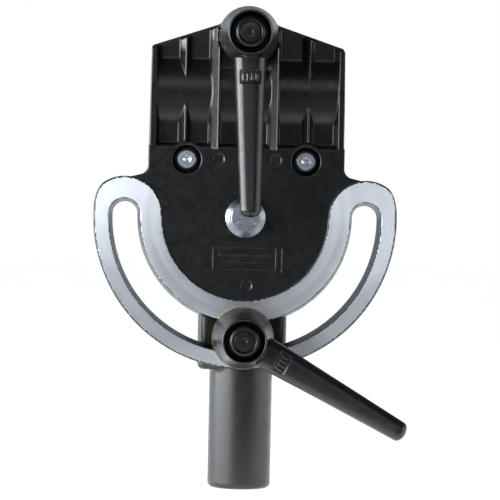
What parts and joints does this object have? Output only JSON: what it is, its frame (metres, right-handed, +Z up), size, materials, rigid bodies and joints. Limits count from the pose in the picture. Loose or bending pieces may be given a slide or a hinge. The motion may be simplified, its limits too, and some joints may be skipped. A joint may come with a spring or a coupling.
{
  "type": "boom arm pivot clamp",
  "caption": "Tilting boom clamp for a light stand: a cast tube clamp with a slotted quadrant ring on a pivot block with a round stand pin, locked by ratchet levers.",
  "frame": {"origin": "centre of the stand pin's flat lower end", "axes": "+Z up the stand pin, -Y towards the levers, +X along the boom tube"},
  "size_m": [0.1403, 0.0835, 0.2177],
  "materials": {
    "painted_casting": "satin black paint on an aluminium casting",
    "powder_coat": "satin black powder coat",
    "black_steel": "matte black oxide on steel",
    "zinc_plate": "bright zinc plate",
    "steel": "turned steel",
    "spring_steel": "drawn spring wire",
    "yellow_zinc": "yellow passivated steel",
    "nylon": "natural nylon",
    "black_plastic": "fine matt moulded plastic"
  },
  "bodies": {
    "stand": {"stand_adapter": "painted_casting", "friction_disc": "nylon", "pivot_bolt": "zinc_plate", "pivot_washer": "zinc_plate", "pivot_nut": "zinc_plate", "pivot_nut_ring": "nylon", "stud_insert": "steel", "slot_bush": "steel", "slot_washer": "yellow_zinc"},
    "head": {"clamp_body": "painted_casting", "pivot_bush": "zinc_plate", "hinge_screws": "zinc_plate", "hinge_washers": "zinc_plate", "hinge_nuts": "zinc_plate", "hinge_nut_rings": "nylon", "clamp_washer": "zinc_plate", "jaw_spring": "spring_steel"},
    "jaw": {"rear_jaw": "painted_casting"},
    "cross_nut": {"barrel_nut": "steel"},
    "clamp_spindle": {"clamp_stud": "steel", "clamp_spline": "steel", "clamp_lever_spring": "spring_steel", "clamp_lever_screw": "black_steel", "clamp_lever_cap": "black_plastic"},
    "clamp_handle": {"clamp_lever": "powder_coat"},
    "tilt_spindle": {"tilt_stud": "steel", "tilt_spline": "steel", "tilt_lever_spring": "spring_steel", "tilt_lever_screw": "black_steel", "tilt_lever_cap": "black_plastic"},
    "tilt_handle": {"tilt_lever": "powder_coat"}
  },
  "joints": [
    {"name": "tilt", "type": "hinge", "parent": "stand", "child": "head", "pos_m": [0, 0, 0.123], "axis": [0, -1, 0], "range_deg": [-90, 90]},
    {"name": "jaw_open", "type": "hinge", "parent": "head", "child": "jaw", "pos_m": [0, 0.014, 0.1486], "axis": [-1, 0, 0], "range_deg": [0, 3]},
    {"name": "cross_nut_turn", "type": "hinge", "parent": "jaw", "child": "cross_nut", "pos_m": [0, 0.014, 0.204], "axis": [-1, 0, 0], "range_deg": [-3, 0]},
    {"name": "clamp_lever_turn", "type": "hinge", "parent": "head", "child": "clamp_spindle", "pos_m": [0, 0, 0.204], "axis": [0, -1, 0], "range_deg": [-90, 20]},
    {"name": "clamp_lever_lift", "type": "slide", "parent": "clamp_spindle", "child": "clamp_handle", "axis": [0, -1, 0], "range_m": [0, 0.0045], "deforming": ["clamp_lever_spring"]},
    {"name": "tilt_lever_turn", "type": "hinge", "parent": "stand", "child": "tilt_spindle", "pos_m": [0, 0, 0.069], "axis": [0, -1, 0], "range_deg": [-90, 29]},
    {"name": "tilt_lever_lift", "type": "slide", "parent": "tilt_spindle", "child": "tilt_handle", "axis": [0, -1, 0], "range_m": [0, 0.0045], "deforming": ["tilt_lever_spring"]}
  ],
  "couplings": [
    {"joint": "cross_nut_turn", "follows": "jaw_open", "ratio": -1}
  ]
}
